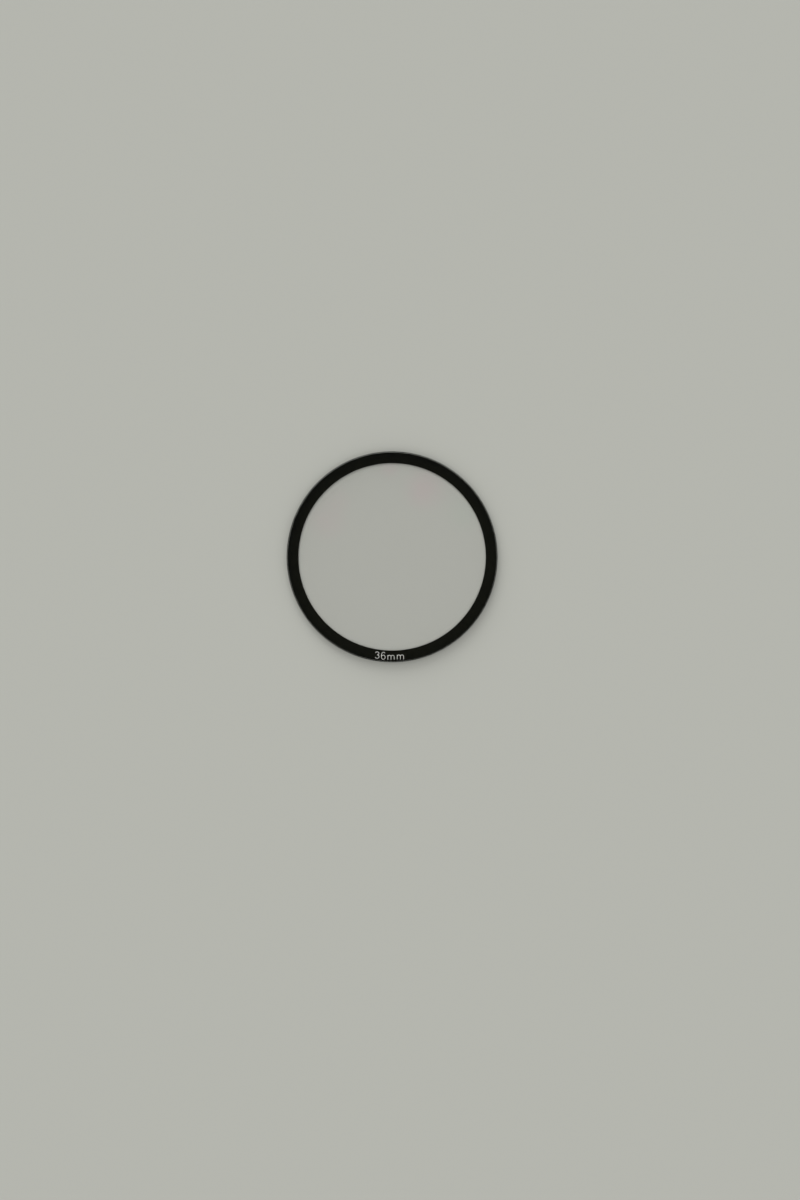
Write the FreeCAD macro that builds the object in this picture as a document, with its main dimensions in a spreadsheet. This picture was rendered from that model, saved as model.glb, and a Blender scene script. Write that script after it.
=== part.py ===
import FreeCAD, Part
import enum
import os

import Sketcher

# Ultraviolet protection filter without a frame, of the kind that sticks to the front ring of a
# compact camera's lens.
#
# The optical axis is Z and the front of the glass faces +Z. The origin is the centre of the
# tape's rear face, which the filter is stuck down by and lies on. From there, going up:
# - the tape, double-sided, a flat ring;
# - the border, black ink printed on the rear face of the glass, wider than the tape on both
#   sides so that it hides it from the front;
# - the glass, a clear disc with a ground bevel at the rear and at the front of its rim.

SIZES = {
    "glass_diameter": (36.0, "outer diameter of the glass"),
    "glass_thickness": (1.0, "rear face to front face of the glass"),
    "edge_bevel": (0.12, "leg of the 45 degree bevels ground on the glass"),
    "border_width": (2.0, "rim of the glass to the clear window, along a radius"),
    "border_edge_margin": (0.03, "rear bevel of the glass to the outer edge of the border"),
    "border_thickness": (0.05, "two coats of black ink"),
    "tape_inner_margin": (0.2, "clear window to the inner edge of the tape"),
    "tape_outer_margin": (0.25, "outer edge of the border to the outer edge of the tape"),
    "tape_thickness": (0.15, "double-sided tape on its carrier film"),
}

# Radii and heights that the pieces share, worked out from the sheet.
GLASS_RADIUS = "Sizes.glass_diameter / 2"
BORDER_INNER = f"{GLASS_RADIUS} - Sizes.border_width"
BORDER_OUTER = f"{GLASS_RADIUS} - Sizes.edge_bevel - Sizes.border_edge_margin"
TAPE_INNER = f"{BORDER_INNER} + Sizes.tape_inner_margin"
TAPE_OUTER = f"{BORDER_OUTER} - Sizes.tape_outer_margin"
TAPE_REAR = "0"
BORDER_REAR = "Sizes.tape_thickness"
GLASS_REAR = f"{BORDER_REAR} + Sizes.border_thickness"


class Point(enum.IntEnum):
    """Which point of a sketch edge a constraint takes."""

    START = 1
    END = 2
    CENTRE = 3


class Axis(enum.IntEnum):
    """The sketch's own axes, counted as its edges are."""

    ACROSS = -1
    UP = -2


ORIGIN = (Axis.ACROSS, Point.START)


def add_sheet(doc):
    """Puts every driving dimension, in millimetres, in a sheet beside what it means."""
    sheet = doc.addObject("Spreadsheet::Sheet", "Sizes")
    for row, (alias, (value, meaning)) in enumerate(SIZES.items(), start=1):
        sheet.set(f"A{row}", alias)
        sheet.set(f"B{row}", str(value))
        sheet.set(f"C{row}", meaning)
        sheet.setAlias(f"B{row}", alias)
    doc.recompute()


def add_body(doc, label):
    body = doc.addObject("PartDesign::Body", label)
    body.Label = label
    return body


def add_sketch(body, name, plane_role):
    """Starts a sketch on one of the body's own origin planes."""
    sketch = body.newObject("Sketcher::SketchObject", name)
    plane = next(item for item in body.Origin.OriginFeatures if item.Role == plane_role)
    sketch.AttachmentSupport = [(plane, "")]
    sketch.MapMode = "FlatFace"
    return sketch


def tie(sketch, name, expression):
    """Names the sketch's newest constraint and ties it to the sheet."""
    sketch.renameConstraint(sketch.ConstraintCount - 1, name)
    sketch.setExpression(f"Constraints.{name}", expression)


def add_distance(sketch, direction, first, second, name, expression, start_value):
    """Adds the distance from one sketch point to another, along X or Y of the sketch."""
    kind = f"Distance{direction}"
    sketch.addConstraint(Sketcher.Constraint(kind, *first, *second, start_value))
    tie(sketch, name, expression)


def add_circle(sketch, name, expression, start_value):
    """Adds a circle round the sketch's origin, with its radius tied to the sheet."""
    middle = FreeCAD.Vector(0, 0, 0)
    facing = FreeCAD.Vector(0, 0, 1)
    circle = sketch.addGeometry(Part.Circle(middle, facing, start_value))
    sketch.addConstraint(Sketcher.Constraint("Coincident", circle, Point.CENTRE, *ORIGIN))
    sketch.addConstraint(Sketcher.Constraint("Radius", circle, start_value))
    tie(sketch, name, expression)


def add_glass(doc):
    """Turns half of the glass's section, with its two bevels, about the optical axis."""
    body = add_body(doc, "filter_glass")
    sketch = add_sketch(body, "glass_section", "XZ_Plane")

    radius = SIZES["glass_diameter"][0] / 2
    bevel = SIZES["edge_bevel"][0]
    rear = SIZES["tape_thickness"][0] + SIZES["border_thickness"][0]
    thickness = SIZES["glass_thickness"][0]
    front = rear + thickness
    corners = [
        FreeCAD.Vector(0, rear, 0),
        FreeCAD.Vector(radius - bevel, rear, 0),
        FreeCAD.Vector(radius, rear + bevel, 0),
        FreeCAD.Vector(radius, front - bevel, 0),
        FreeCAD.Vector(radius - bevel, front, 0),
        FreeCAD.Vector(0, front, 0),
    ]
    edges = [Part.LineSegment(a, b) for a, b in zip(corners, corners[1:] + corners[:1])]
    loop = list(sketch.addGeometry(edges))
    rear_face, rear_bevel, rim, front_bevel, front_face, on_axis = loop

    for edge, following in zip(loop, loop[1:] + loop[:1]):
        joined = (edge, Point.END, following, Point.START)
        sketch.addConstraint(Sketcher.Constraint("Coincident", *joined))
    for point in (Point.START, Point.END):
        sketch.addConstraint(Sketcher.Constraint("PointOnObject", on_axis, point, Axis.UP))
    sketch.addConstraint(Sketcher.Constraint("Horizontal", rear_face))
    sketch.addConstraint(Sketcher.Constraint("Horizontal", front_face))
    sketch.addConstraint(Sketcher.Constraint("Vertical", rim))

    rear_middle = (on_axis, Point.END)
    front_middle = (on_axis, Point.START)
    rim_rear = (rim, Point.START)
    rim_front = (rim, Point.END)
    flat_rear = (rear_bevel, Point.START)
    flat_front = (front_bevel, Point.END)
    add_distance(sketch, "X", ORIGIN, rim_rear, "radius", GLASS_RADIUS, radius)
    add_distance(sketch, "Y", ORIGIN, rear_middle, "rear", GLASS_REAR, rear)
    for direction, first, second, name, expression, start_value in (
        ("Y", rear_middle, front_middle, "thickness", "Sizes.glass_thickness", thickness),
        ("X", flat_rear, rim_rear, "rear_bevel_across", "Sizes.edge_bevel", bevel),
        ("Y", flat_rear, rim_rear, "rear_bevel_up", "Sizes.edge_bevel", bevel),
        ("X", flat_front, rim_front, "front_bevel_across", "Sizes.edge_bevel", bevel),
        ("Y", rim_front, flat_front, "front_bevel_up", "Sizes.edge_bevel", bevel),
    ):
        add_distance(sketch, direction, first, second, name, expression, start_value)

    disc = body.newObject("PartDesign::Revolution", "glass_disc")
    disc.Profile = sketch
    disc.ReferenceAxis = (sketch, ["V_Axis"])
    disc.Angle = 360
    return body


def add_film_ring(doc, label, inner, outer, rear, thickness):
    """Raises a flat ring of film round the optical axis, from the height of its rear face."""
    body = add_body(doc, label)
    sketch = add_sketch(body, f"{label}_outline", "XY_Plane")
    sketch.setExpression("AttachmentOffset.Base.z", rear)

    glass_radius = SIZES["glass_diameter"][0] / 2
    border_width = SIZES["border_width"][0]
    add_circle(sketch, "outer_radius", outer, glass_radius)
    add_circle(sketch, "inner_radius", inner, glass_radius - border_width)

    film = body.newObject("PartDesign::Pad", f"{label}_film")
    film.Profile = sketch
    film.setExpression("Length", thickness)
    return body


def add_border(doc):
    return add_film_ring(
        doc, "border_print", BORDER_INNER, BORDER_OUTER, BORDER_REAR, "Sizes.border_thickness"
    )


def add_tape(doc):
    return add_film_ring(
        doc, "adhesive_ring", TAPE_INNER, TAPE_OUTER, TAPE_REAR, "Sizes.tape_thickness"
    )


def check(doc, bodies):
    """Stops before anything is written if an object failed or a piece isn't one sound solid."""
    for item in doc.Objects:
        if "Invalid" in item.State or "Error" in item.State:
            raise RuntimeError(f"{item.Label} failed: {item.State}")
        if item.TypeId == "Sketcher::SketchObject" and not item.FullyConstrained:
            raise RuntimeError(f"{item.Label} isn't fully constrained")
    for body in bodies:
        shape = body.Shape
        if shape.isNull() or not shape.isValid() or len(shape.Solids) != 1:
            raise RuntimeError(f"{body.Label} isn't one sound solid")


def write(body):
    """Writes a piece's STEP file and prints its size."""
    shape = body.Shape
    shape.exportStep(os.path.join("parts", f"{body.Label}.step"))
    box = shape.BoundBox
    print(
        f"{body.Label}: {box.XLength:.3f} x {box.YLength:.3f} x {box.ZLength:.3f} mm, "
        f"from z {box.ZMin:.3f} to {box.ZMax:.3f}, {shape.Volume:.2f} cubic mm"
    )


def main():
    doc = FreeCAD.newDocument("lens_filter")
    add_sheet(doc)
    bodies = [add_glass(doc), add_border(doc), add_tape(doc)]
    doc.recompute()
    check(doc, bodies)

    os.makedirs("parts", exist_ok=True)
    for body in bodies:
        write(body)


main()
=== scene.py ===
import math

import bpy
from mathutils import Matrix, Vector


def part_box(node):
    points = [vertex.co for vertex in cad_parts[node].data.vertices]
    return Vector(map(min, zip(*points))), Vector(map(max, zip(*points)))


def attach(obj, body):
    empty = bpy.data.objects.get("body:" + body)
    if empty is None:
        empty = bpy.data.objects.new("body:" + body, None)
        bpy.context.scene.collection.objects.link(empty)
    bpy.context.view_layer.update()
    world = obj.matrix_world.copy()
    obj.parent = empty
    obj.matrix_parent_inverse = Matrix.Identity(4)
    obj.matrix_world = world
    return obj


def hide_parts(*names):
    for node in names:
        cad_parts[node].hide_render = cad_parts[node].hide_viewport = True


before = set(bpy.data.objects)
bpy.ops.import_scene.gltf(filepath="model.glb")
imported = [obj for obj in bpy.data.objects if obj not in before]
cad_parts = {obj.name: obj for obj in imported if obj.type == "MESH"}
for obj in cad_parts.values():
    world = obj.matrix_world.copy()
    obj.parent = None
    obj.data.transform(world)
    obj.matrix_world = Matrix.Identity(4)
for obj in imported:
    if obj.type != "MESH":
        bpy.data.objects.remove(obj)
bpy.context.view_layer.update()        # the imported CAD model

mm = 0.001
glassLow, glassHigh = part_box("filter_glass")
borderLow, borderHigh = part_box("border_print")
print("frame loaded:", ", ".join(sorted(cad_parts)))


# Modelling helpers

def clearSelection():
    if bpy.context.object is not None and bpy.context.object.mode != "OBJECT":
        bpy.ops.object.mode_set(mode="OBJECT")
    bpy.ops.object.select_all(action="DESELECT")


def selectOnly(piece):
    clearSelection()
    piece.select_set(True)
    bpy.context.view_layer.objects.active = piece


def pickEdges(piece, wanted):
    # in edit mode, leaves selected only the edges that wanted() says yes to
    bpy.ops.mesh.select_mode(type="EDGE")
    bpy.ops.object.mode_set(mode="OBJECT")
    mesh = piece.data
    for part in (*mesh.vertices, *mesh.edges, *mesh.polygons):
        part.select = False
    for edge in mesh.edges:
        edge.select = wanted(edge)
    bpy.ops.object.mode_set(mode="EDIT")


def turnOutward():
    # in edit mode, makes every face of the piece look outwards
    bpy.ops.mesh.select_all(action="SELECT")
    bpy.ops.mesh.normals_make_consistent(inside=False)


def easeEdges(piece, width, segments=2, sharperThan=30):
    # rounds every edge sharper than the angle, and keeps the flat faces flat
    bpy.ops.object.shade_smooth()
    easing = piece.modifiers.new("easing", "BEVEL")
    easing.width = width
    easing.segments = segments
    easing.limit_method = "ANGLE"
    easing.angle_limit = math.radians(sharperThan)
    easing.harden_normals = True
    bpy.ops.object.modifier_apply(modifier=easing.name)


def settle(piece, nodes=()):
    # the place goes into the mesh, and the piece goes with the body it belongs to
    selectOnly(piece)
    bpy.ops.object.transform_apply(location=True, rotation=True, scale=True)
    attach(piece, "root")
    if nodes:
        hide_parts(*nodes)


# Shader helpers

class Wire:
    # a shader socket that can be added to and multiplied
    def __init__(self, shading, socket):
        self.shading = shading
        self.socket = socket

    def __add__(self, other):
        return self.shading.sum("ADD", self, other)

    def __mul__(self, other):
        return self.shading.sum("MULTIPLY", self, other)

    __radd__ = __add__
    __rmul__ = __mul__


def findSocket(sockets, key):
    if isinstance(key, int):
        return sockets[key]
    return next(socket for socket in sockets if socket.enabled and socket.name == key)


class Shading:
    def __init__(self, owner, outputKind="ShaderNodeOutputMaterial"):
        owner.use_nodes = True
        self.owner = owner
        self.tree = owner.node_tree
        self.tree.nodes.clear()
        self.end = self.tree.nodes.new(outputKind)

    def node(self, kind, settings=None, values=None, output=0):
        made = self.tree.nodes.new(kind)
        for name, value in (settings or {}).items():
            setattr(made, name, value)
        for key, value in (values or {}).items():
            socket = findSocket(made.inputs, key)
            if isinstance(value, Wire):
                self.tree.links.new(value.socket, socket)
            else:
                socket.default_value = value
        return Wire(self, findSocket(made.outputs, output))

    def sum(self, operation, first, second):
        return self.node("ShaderNodeMath", {"operation": operation}, {0: first, 1: second})

    def between(self, mask, limits):
        low, high = limits
        return mask * (high - low) + low

    def blend(self, mask, colourA, colourB):
        settings = {"data_type": "RGBA"}
        values = {"Factor": mask, "A": colourA, "B": colourB}
        return self.node("ShaderNodeMix", settings, values, "Result")

    def smoothStep(self, value, limits, start=0.0, end=1.0):
        settings = {"interpolation_type": "SMOOTHSTEP"}
        values = {"Value": value, "From Min": limits[0], "From Max": limits[1]}
        return self.node("ShaderNodeMapRange", settings, {**values, "To Min": start, "To Max": end})

    def place(self):
        return self.node("ShaderNodeTexCoord", output="Object")

    def noise(self, where, size, detail, roughness=0.5):
        # size is about that of one blotch, in metres
        values = {"Vector": where, "Scale": 1 / size, "Detail": detail, "Roughness": roughness}
        return self.node("ShaderNodeTexNoise", values=values)

    def bump(self, height, depth):
        values = {"Height": height, "Distance": depth, "Strength": 1.0}
        return self.node("ShaderNodeBump", values=values, output="Normal")

    def principled(self, values):
        return self.node("ShaderNodeBsdfPrincipled", values=values)

    def finishWith(self, surface):
        self.tree.links.new(surface.socket, findSocket(self.end.inputs, "Surface"))
        return self.owner


def opaque(colour):
    return (*colour, 1.0)


def grey(level):
    return (level, level, level, 1.0)


def passLamps(shading, solid, clearness):
    # lamps and the light off the floor go straight through, so what lies behind glass is lit
    through = shading.node("ShaderNodeBsdfTransparent", values={"Color": opaque(clearness)})
    toLamp = shading.node("ShaderNodeLightPath", output="Is Shadow Ray")
    offFloor = shading.node("ShaderNodeLightPath", output="Is Diffuse Ray")
    either = shading.sum("MAXIMUM", toLamp, offFloor)
    return shading.node("ShaderNodeMixShader", values={0: either, 1: solid, 2: through})


# Camera, straight above the filter, as the photo sees it

photo = {
    "height": 1200,
    "middle": (400, 600),
    "filterCentre": (392.1, 556.8),  # pixels, of the 800 x 1200 frame
    "pixelsPerMm": 5.862,            # the 36 mm filter is 211 pixels across
    "lens": 85.0,
    "sensor": 36.0,
    "clip": (0.05, 20.0),
}


def addCamera():
    scale = photo["pixelsPerMm"] / mm
    right = (photo["middle"][0] - photo["filterCentre"][0]) / scale
    down = (photo["middle"][1] - photo["filterCentre"][1]) / scale
    halfFrame = photo["height"] / 2 / scale
    distance = halfFrame * photo["lens"] / (photo["sensor"] / 2)
    clearSelection()
    bpy.ops.object.camera_add(location=(right, -down, glassHigh.z + distance))
    camera = bpy.context.object
    camera.data.lens = photo["lens"]
    camera.data.sensor_width = photo["sensor"]
    camera.data.clip_start, camera.data.clip_end = photo["clip"]
    bpy.context.scene.camera = camera


addCamera()
print("camera placed")


# Light: an even pale room, dim only in what the glass mirrors from straight overhead, and one
# soft low lamp from beyond the top of the filter, a little to the left

light = {
    "backdrop": (0.4606, 0.4662, 0.4245),  # as the far floor looks, so the two meet without a line
    "ambient": 0.77,
    "wall": 0.93,
    "overhead": 0.05,
    "wallStarts": (0.28, 0.50),            # these and glowStarts are sines of the height
    "wallEnds": (0.80, 0.95),
    "lampFrom": (-0.165, 0.51, 0.21),
    "lampStrength": 1.83,
    "lampAngle": 48,
    "glow": 1.9,                           # what the glass mirrors from round the lamp
    "glowReach": (29, 13),                 # degrees from the lamp
    "glowStarts": (0.10, 0.30),
}


def roundLamp(shading, direction):
    lampDirection = Vector(light["lampFrom"]).normalized()
    settings = {"operation": "DOT_PRODUCT"}
    values = {0: direction, 1: lampDirection}
    nearness = shading.node("ShaderNodeVectorMath", settings, values, "Value")
    reach = [math.cos(math.radians(angle)) for angle in light["glowReach"]]
    return shading.smoothStep(nearness, reach)


def lightRoom():
    world = bpy.data.worlds.new("paleRoom")
    bpy.context.scene.world = world
    shading = Shading(world, "ShaderNodeOutputWorld")
    direction = shading.node("ShaderNodeTexCoord", output="Generated")
    height = shading.node("ShaderNodeSeparateXYZ", values={0: direction}, output="Z")
    intoWall = shading.smoothStep(height, light["wallStarts"])
    intoOverhead = shading.smoothStep(height, light["wallEnds"])
    backdrop = opaque(light["backdrop"])
    mirrored = shading.blend(intoWall, backdrop, grey(light["wall"]))
    mirrored = shading.blend(intoOverhead, mirrored, grey(light["overhead"]))
    intoGlow = roundLamp(shading, direction) * shading.smoothStep(height, light["glowStarts"])
    mirrored = shading.blend(intoGlow, mirrored, grey(light["glow"]))
    ontoSurfaces = shading.node("ShaderNodeLightPath", output="Is Diffuse Ray")
    toCamera = shading.node("ShaderNodeLightPath", output="Is Camera Ray")
    colour = shading.blend(ontoSurfaces, mirrored, grey(light["ambient"]))
    colour = shading.blend(toCamera, colour, backdrop)
    shading.finishWith(shading.node("ShaderNodeBackground", values={"Color": colour}))


def addLamp():
    clearSelection()
    bpy.ops.object.light_add(type="SUN", location=light["lampFrom"])
    lamp = bpy.context.object
    lamp.name = "softLamp"
    lamp.rotation_euler = Vector(light["lampFrom"]).to_track_quat("Z", "Y").to_euler()
    lamp.data.energy = light["lampStrength"]
    lamp.data.angle = math.radians(light["lampAngle"])
    lamp.visible_glossy = False  # the glass mirrors the room and its glow, from both of its faces
    lamp.visible_transmission = False


lightRoom()
addLamp()
print("room lit")


# Floor, plain and pale

floorLook = {
    "size": 12.0,
    "below": 0.01 * mm,
    "colour": (0.458, 0.4635, 0.423),
    "roughness": 1.0,
    "shine": 0.0,
}


def addFloor():
    clearSelection()
    bpy.ops.mesh.primitive_plane_add(size=floorLook["size"], location=(0, 0, -floorLook["below"]))
    floor = bpy.context.object
    floor.name = "floor"
    shading = Shading(bpy.data.materials.new("paleFloor"))
    values = {
        "Base Color": opaque(floorLook["colour"]),
        "Roughness": floorLook["roughness"],
        "Specular IOR Level": floorLook["shine"],
    }
    floor.data.materials.append(shading.finishWith(shading.principled(values)))


addFloor()
print("floor laid")


# Glass disc: polished coated faces, finely ground rim and bevels

glass = {
    "around": 256,
    "bevel": 0.12 * mm,
    "easing": 0.012 * mm,
    "slopes": (0.999, 0.3),  # a face's normal rises more than these if it's polished, or bevelled
    "ior": 1.52,
    "tint": (0.953, 0.952, 0.961),
    "paintedReflectionSpots": [               # painted coating reflections: tint, then place and reach in mm, and strength
        ("paintedPinkReflection", (5.6, 11.6), 4.8, 1.0),
        ("paintedPinkReflection", (-11.0, 6.0), 4.4, 0.55),
        ("paintedPinkReflection", (-9.3, 9.4), 3.4, 0.4),
        ("paintedPinkReflection", (-0.5, 15.0), 2.4, 0.6),
        ("paintedGreenReflection", (12.2, 7.4), 4.2, 0.7),
    ],
    "paintedPinkReflection": (1.0, 0.892, 0.945),
    "paintedGreenReflection": (0.905, 0.962, 0.935),
    "patch": 3 * mm,
    "patchStrength": (0.4, 1.2),
    "coating": 120,          # nanometres
    "coatingIor": 1.38,
    "facesPass": (0.964, 0.964, 0.962),
    "bevelColour": (0.60, 0.64, 0.60),
    "bevelRoughness": (0.10, 0.18),
    "rimColour": (0.55, 0.60, 0.56),
    "rimRoughness": (0.38, 0.52),
    "rimStreak": 0.80 * mm,
    "rimGrain": 0.20 * mm,
    "rimDepth": 0.0015 * mm,
    "rimClearness": 0.60,    # the rest of the light is scattered back by the ground surface
    "rimPasses": (0.25, 0.25, 0.25),
}


def polishedFinish():
    shading = Shading(bpy.data.materials.new("coatedGlass"))
    where = shading.place()
    cloud = shading.noise(where, glass["patch"], detail=1.0)
    colour = opaque(glass["tint"])
    # the coating's coloured reflections are painted into the glass's colour here, as faint pink and
    # green patches
    for tint, (x, y), reach, strength in glass["paintedReflectionSpots"]:
        middle = (x * mm, y * mm, glassHigh.z)
        settings = {"operation": "DISTANCE"}
        away = shading.node("ShaderNodeVectorMath", settings, {0: where, 1: middle}, "Value")
        near = shading.smoothStep(away, (0.0, reach * mm), start=strength, end=0.0)
        mask = near * shading.between(cloud, glass["patchStrength"])
        colour = shading.blend(mask, colour, opaque(glass[tint]))
    values = {
        "Base Color": colour,
        "Roughness": 0.0,
        "IOR": glass["ior"],
        "Transmission Weight": 1.0,
        "Thin Film Thickness": glass["coating"],
        "Thin Film IOR": glass["coatingIor"],
    }
    solid = shading.principled(values)
    return shading.finishWith(passLamps(shading, solid, glass["facesPass"]))


def bevelFinish():
    shading = Shading(bpy.data.materials.new("bevelledGlass"))
    streaks = shading.noise(shading.place(), glass["rimStreak"], detail=2.0)
    values = {
        "Base Color": opaque(glass["bevelColour"]),
        "Roughness": shading.between(streaks, glass["bevelRoughness"]),
        "IOR": glass["ior"],
        "Transmission Weight": 1.0,
    }
    solid = shading.principled(values)
    return shading.finishWith(passLamps(shading, solid, glass["rimPasses"]))


def groundFinish():
    shading = Shading(bpy.data.materials.new("groundGlass"))
    where = shading.place()
    grain = shading.noise(where, glass["rimGrain"], detail=1.0)
    streaks = shading.noise(where, glass["rimStreak"], detail=2.0)
    values = {
        "Base Color": opaque(glass["rimColour"]),
        "Roughness": shading.between(streaks, glass["rimRoughness"]),
        "IOR": glass["ior"],
        "Transmission Weight": glass["rimClearness"],
        "Normal": shading.bump(grain, glass["rimDepth"]),
    }
    solid = shading.principled(values)
    return shading.finishWith(passLamps(shading, solid, glass["rimPasses"]))


def addGlass():
    radius = min(*glassHigh.xy, *-glassLow.xy)
    thickness = glassHigh.z - glassLow.z
    clearSelection()
    bpy.ops.mesh.primitive_circle_add(
        vertices=glass["around"], radius=radius, fill_type="NGON", location=(0, 0, glassLow.z)
    )
    disc = bpy.context.object
    disc.name = "glassDisc"
    bpy.ops.object.transform_apply(location=True)
    bpy.ops.object.mode_set(mode="EDIT")
    bpy.ops.mesh.select_all(action="SELECT")
    bpy.ops.mesh.extrude_region_move(TRANSFORM_OT_translate={"value": (0, 0, thickness)})
    turnOutward()

    def level(edge):
        first, second = (disc.data.vertices[corner].co.z for corner in edge.vertices)
        return abs(first - second) < thickness / 2

    pickEdges(disc, level)
    bpy.ops.mesh.bevel(offset=glass["bevel"], offset_type="OFFSET", segments=1, affect="EDGES")
    bpy.ops.object.mode_set(mode="OBJECT")
    easeEdges(disc, glass["easing"])

    for finish in (polishedFinish(), bevelFinish(), groundFinish()):
        disc.data.materials.append(finish)
    for face in disc.data.polygons:
        rise = abs(face.normal.z)
        face.material_index = sum(rise <= slope for slope in glass["slopes"])
    settle(disc, ["filter_glass"])
    return disc


glassDisc = addGlass()
print("glass disc modelled:", len(glassDisc.data.polygons), "faces")


# Black border, screen printed on the rear face of the glass

border = {
    "around": 256,
    "soak": 0.003 * mm,      # wets the glass, so no air shows between the two
    "easing": 0.012 * mm,
    "inkDark": (0.0036, 0.0036, 0.0010),
    "inkPale": (0.0060, 0.0060, 0.0028),
    "mottle": 0.7 * mm,
    "roughness": (0.50, 0.62),
    "shine": 0.05,
    "meshPitch": 0.16 * mm,
    "meshDepth": 0.001 * mm,
}


def blackInkFinish():
    shading = Shading(bpy.data.materials.new("blackInk"))
    where = shading.place()
    mottle = shading.noise(where, border["mottle"], detail=3.0, roughness=0.6)
    weave = shading.noise(where, border["meshPitch"], detail=1.0)
    values = {
        "Base Color": shading.blend(mottle, opaque(border["inkDark"]), opaque(border["inkPale"])),
        "Roughness": shading.between(mottle, border["roughness"]),
        "Specular IOR Level": border["shine"],
        "Normal": shading.bump(weave, border["meshDepth"]),
    }
    return shading.finishWith(shading.principled(values))


def addBorder():
    outer = min(*borderHigh.xy, *-borderLow.xy)
    inner = min(v.co.xy.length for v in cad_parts["border_print"].data.vertices)
    rear = (0, 0, borderLow.z)
    thickness = borderHigh.z - borderLow.z + border["soak"]
    clearSelection()
    bpy.ops.mesh.primitive_circle_add(vertices=border["around"], radius=outer, location=rear)
    ring = bpy.context.object
    ring.name = "printedBorder"
    bpy.ops.object.transform_apply(location=True)
    bpy.ops.object.mode_set(mode="EDIT")
    bpy.ops.mesh.select_all(action="SELECT")
    bpy.ops.mesh.extrude_region_move()
    bpy.ops.transform.resize(value=(inner / outer, inner / outer, 1), center_override=rear)
    bpy.ops.mesh.select_all(action="SELECT")
    bpy.ops.mesh.extrude_region_move(TRANSFORM_OT_translate={"value": (0, 0, thickness)})
    turnOutward()
    bpy.ops.object.mode_set(mode="OBJECT")
    easeEdges(ring, border["easing"])

    ring.data.materials.append(blackInkFinish())
    settle(ring, ["border_print"])
    return ring


printedBorder = addBorder()
print("border modelled:", len(printedBorder.data.polygons), "faces")


# Size mark, off-white ink in the border: a plain number and its unit in thin round strokes

arcSteps = 20


def arc(x, y, across, up, start, end):
    turns = [math.radians(start + (end - start) * step / arcSteps) for step in range(arcSteps + 1)]
    return [(x + across * math.cos(turn), y + up * math.sin(turn)) for turn in turns]


mark = {
    "text": "36mm",
    "em": 1.78 * mm,
    "tracking": 1.075,
    "advance": {"3": 0.547, "6": 0.547, "m": 0.842},  # in ems, as the strokes below are
    "strokes": {
        "3": [arc(0.258, 0.510, 0.166, 0.145, 165, -90), arc(0.264, 0.195, 0.184, 0.170, 94, -165)],
        "6": [arc(0.272, 0.207, 0.182, 0.205, 0, 360), arc(0.284, 0.350, 0.197, 0.330, 195, 48)],
        "m": [
            [(0.110, 0.440), (0.110, 0.0)],
            arc(0.263, 0.290, 0.153, 0.135, 170, 0) + [(0.416, 0.0)],
            arc(0.570, 0.290, 0.153, 0.135, 170, 0) + [(0.723, 0.0)],
        ],
    },
    "closesWithin": 0.001,    # ems between the two ends of a ring
    "strokeWidth": 0.11 * mm,
    "sliver": 0.0004 * mm,    # faces narrower than this are left by the union of the strokes
    "smoothBelow": 40,        # degrees
    "baseline": 17.57 * mm,   # radius on which the letters stand
    "turn": -1.38,            # degrees from the bottom of the border
    "lean": 0.15,             # share of the border's turn that each letter follows
    "thickness": 0.012 * mm,
    "proud": 0.002 * mm,      # in front of the black that was printed after it
    "ink": (0.81, 0.81, 0.775),
    "inkThin": (0.70, 0.70, 0.67),
    "speckle": 0.12 * mm,
    "roughness": 0.6,
    "shine": 0.05,
}


def whiteInkFinish():
    shading = Shading(bpy.data.materials.new("whiteInk"))
    speckle = shading.noise(shading.place(), mark["speckle"], detail=2.0)
    values = {
        "Base Color": shading.blend(speckle, opaque(mark["ink"]), opaque(mark["inkThin"])),
        "Roughness": mark["roughness"],
        "Specular IOR Level": mark["shine"],
    }
    return shading.finishWith(shading.principled(values))


def drawStroke(points, middle):
    # a round tube along the points, in ems, with its ends capped or joined
    drawing = bpy.data.curves.new("stroke", "CURVE")
    drawing.dimensions = "3D"
    drawing.bevel_depth = mark["strokeWidth"] / mark["em"] / 2
    drawing.bevel_resolution = 2
    drawing.use_fill_caps = True
    line = drawing.splines.new("POLY")
    line.use_cyclic_u = math.dist(points[0], points[-1]) < mark["closesWithin"]
    if line.use_cyclic_u:
        points = points[:-1]
    line.points.add(len(points) - 1)
    for point, (x, y) in zip(line.points, points):
        point.co = (x - middle, y, 0, 1)
    stroke = bpy.data.objects.new("stroke", drawing)
    bpy.context.collection.objects.link(stroke)
    selectOnly(stroke)
    bpy.ops.object.convert(target="MESH")
    bpy.ops.object.mode_set(mode="EDIT")
    turnOutward()
    bpy.ops.object.mode_set(mode="OBJECT")
    return stroke


def drawLetter(letter):
    middle = mark["advance"][letter] / 2
    drawn, *others = [drawStroke(points, middle) for points in mark["strokes"][letter]]
    selectOnly(drawn)
    for other in others:
        union = drawn.modifiers.new("union", "BOOLEAN")
        union.operation = "UNION"
        union.solver = "EXACT"
        union.object = other
        bpy.ops.object.modifier_apply(modifier=union.name)
        bpy.data.objects.remove(other)
    return drawn


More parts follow.
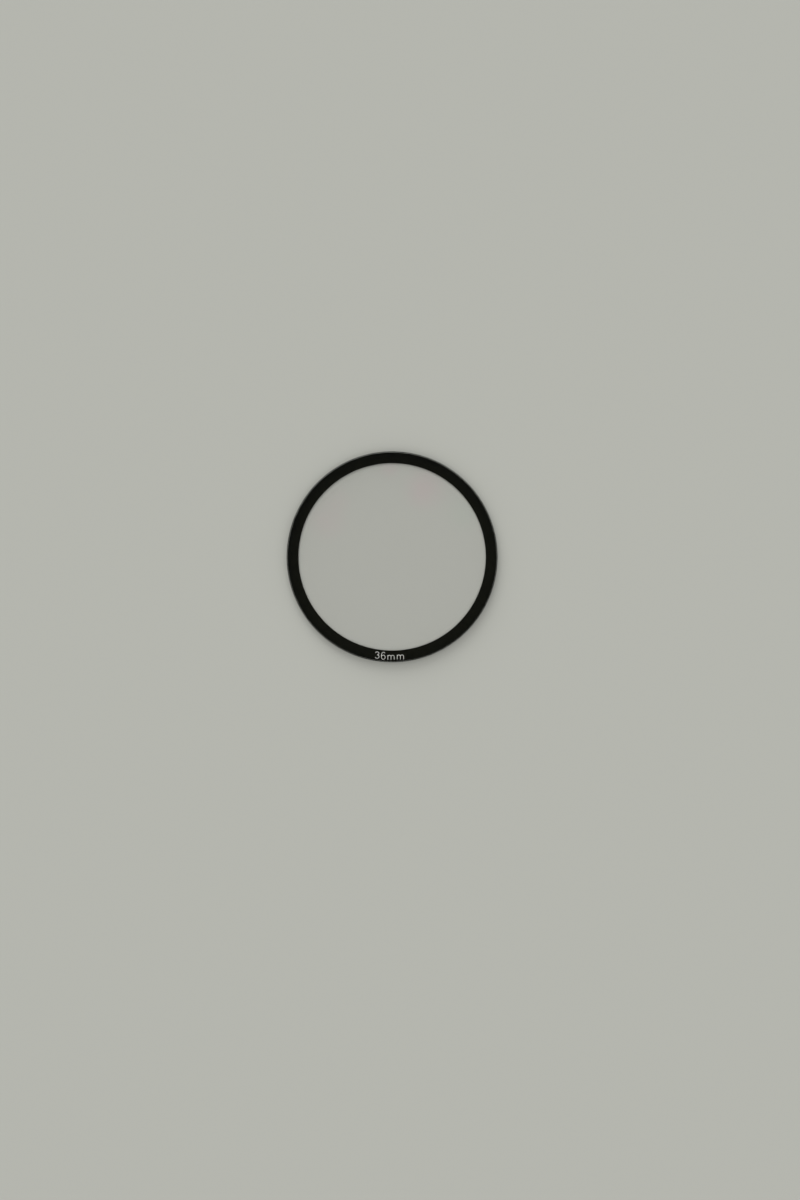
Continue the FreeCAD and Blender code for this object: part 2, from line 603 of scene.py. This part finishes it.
def placeLetters():
    height = borderHigh.z + border["soak"] + mark["proud"] - mark["thickness"] / 2
    flatness = mark["thickness"] / mark["strokeWidth"]
    steps = [mark["advance"][letter] * mark["em"] * mark["tracking"] for letter in mark["text"]]
    letters = []
    done = -sum(steps) / 2
    for letter, step in zip(mark["text"], steps):
        turn = (done + step / 2) / mark["baseline"] + math.radians(mark["turn"])
        done += step
        drawn = drawLetter(letter)
        drawn.scale = (mark["em"], mark["em"], mark["em"] * flatness)
        drawn.location = (math.sin(turn) * mark["baseline"], -math.cos(turn) * mark["baseline"], height)
        drawn.rotation_euler.z = turn * mark["lean"]
        letters.append(drawn)
    return letters


def addMark():
    letters = placeLetters()
    selectOnly(letters[0])
    for drawn in letters:
        drawn.select_set(True)
    bpy.ops.object.transform_apply(location=True, rotation=True, scale=True)
    bpy.ops.object.join()
    whiteMark = bpy.context.object
    whiteMark.name = "sizeMark"
    bpy.ops.object.mode_set(mode="EDIT")
    bpy.ops.mesh.select_all(action="SELECT")
    bpy.ops.mesh.remove_doubles(threshold=mark["sliver"])
    bpy.ops.mesh.dissolve_degenerate(threshold=mark["sliver"])
    turnOutward()
    bpy.ops.object.mode_set(mode="OBJECT")
    bpy.ops.object.shade_smooth_by_angle(angle=math.radians(mark["smoothBelow"]))
    whiteMark.data.materials.clear()
    whiteMark.data.materials.append(whiteInkFinish())
    settle(whiteMark)
    return whiteMark


sizeMark = addMark()
print("size mark set:", len(sizeMark.data.polygons), "faces")


# Tape ring: the CAD piece, with a finish of its own

tape = {
    "dark": (0.014, 0.014, 0.014),
    "pale": (0.024, 0.024, 0.023),
    "blotch": 0.9 * mm,
    "fibre": 0.14 * mm,
    "depth": 0.003 * mm,
    "roughness": (0.45, 0.65),
}


def tapeFinish():
    shading = Shading(bpy.data.materials.new("blackTape"))
    where = shading.place()
    blotch = shading.noise(where, tape["blotch"], detail=3.0)
    fibre = shading.noise(where, tape["fibre"], detail=3.0)
    values = {
        "Base Color": shading.blend(blotch, opaque(tape["dark"]), opaque(tape["pale"])),
        "Roughness": shading.between(fibre, tape["roughness"]),
        "Normal": shading.bump(fibre, tape["depth"]),
    }
    return shading.finishWith(shading.principled(values))


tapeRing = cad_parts["adhesive_ring"]
tapeRing.data.materials.clear()
tapeRing.data.materials.append(tapeFinish())
print("tape finished")


bpy.context.scene.view_settings.view_transform = "Standard"
